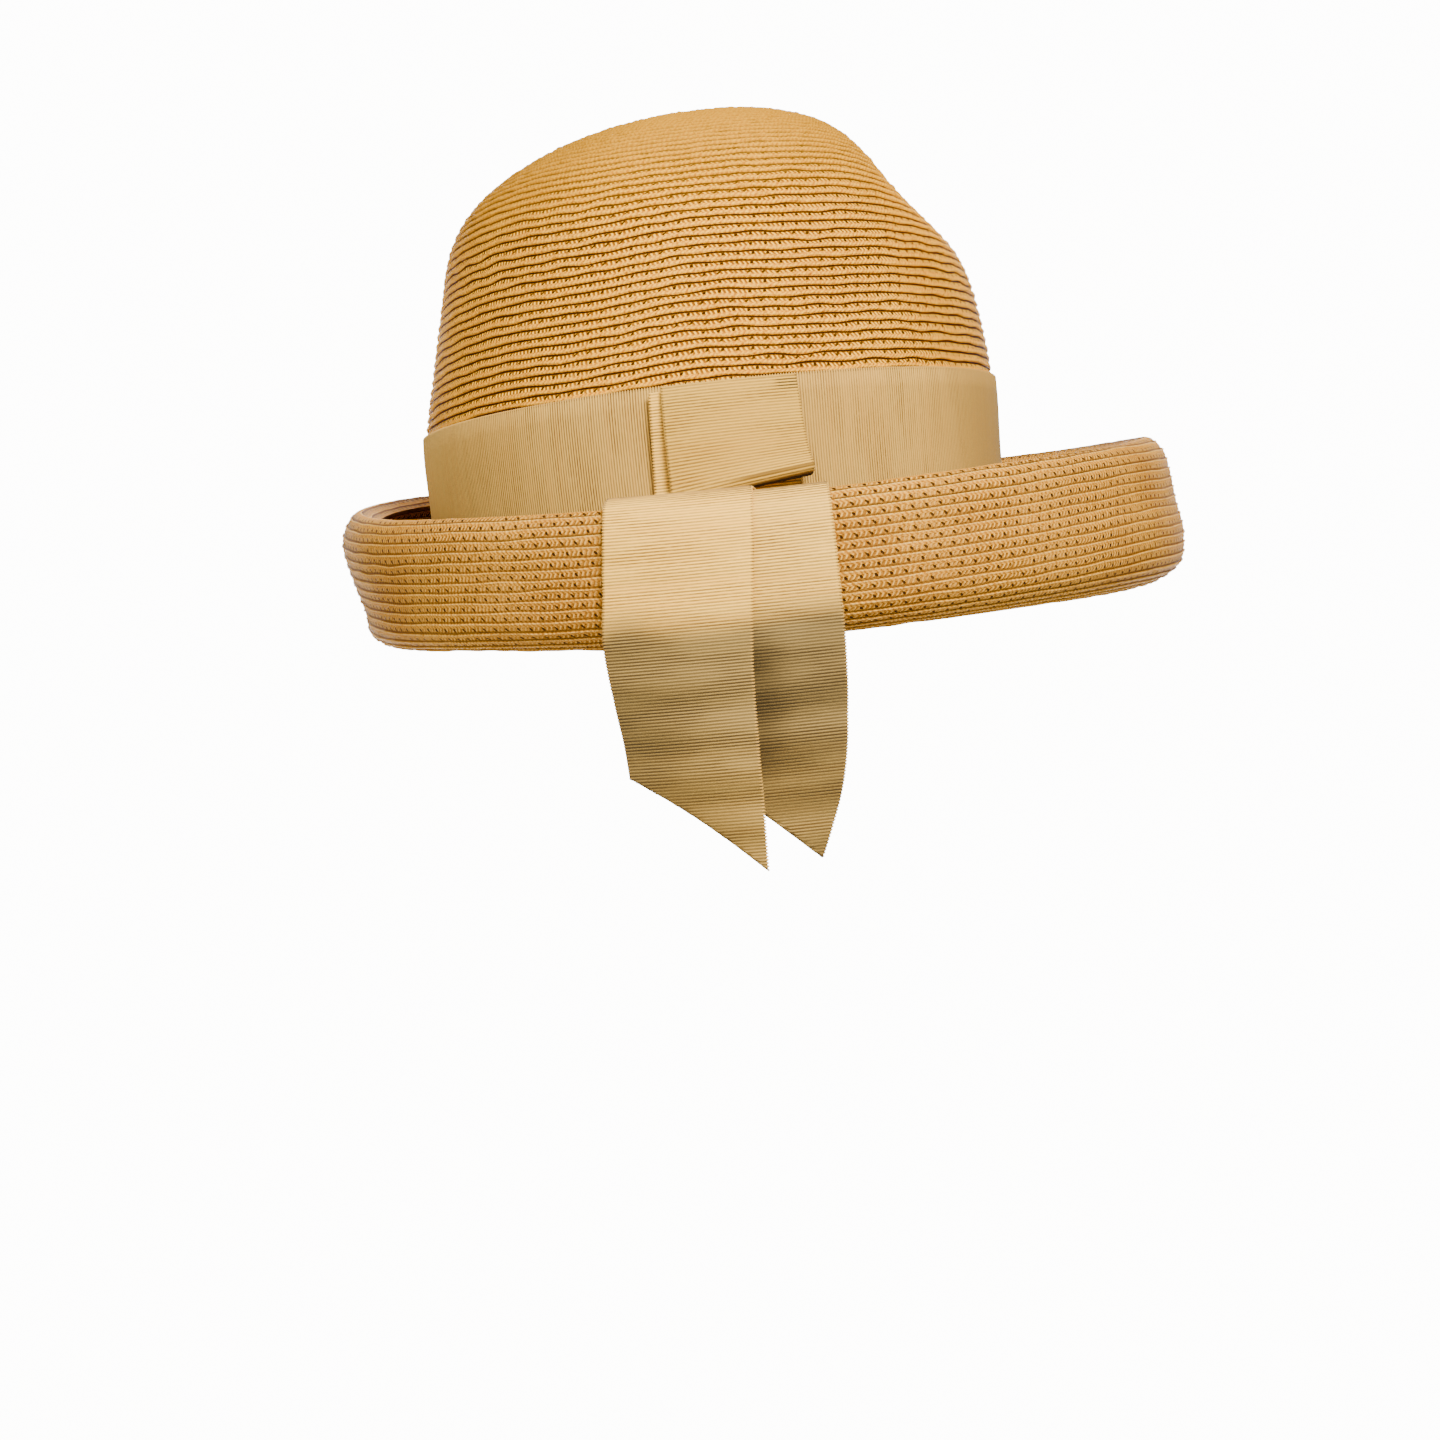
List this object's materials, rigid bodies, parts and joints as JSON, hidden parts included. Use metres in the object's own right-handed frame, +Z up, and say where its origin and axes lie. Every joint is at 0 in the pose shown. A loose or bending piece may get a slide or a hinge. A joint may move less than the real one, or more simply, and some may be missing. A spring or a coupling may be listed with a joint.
{
  "type": "cloche hat",
  "caption": "Straw cloche hat with a deep domed crown, an upturned rolled brim, and a ribbon band with a flat loop and tails that hang over the brim at the back.",
  "frame": {"origin": "centre of the head opening, level with the line where the crown meets the brim, where the hat sits on a head", "axes": "+Z up out of the crown; -Y the back of the hat, where the ribbon is tied; +X to the right seen from the back"},
  "size_m": [0.248, 0.3022, 0.219],
  "materials": {
    "straw": "sewn straw braid, golden, satin",
    "ribbon": "grosgrain ribbon, champagne beige, matt"
  },
  "bodies": {
    "root": {"crown": "straw", "brim": "straw", "band": "ribbon", "bow_loop": "ribbon", "tail_left": "ribbon", "tail_right": "ribbon"}
  },
  "joints": []
}
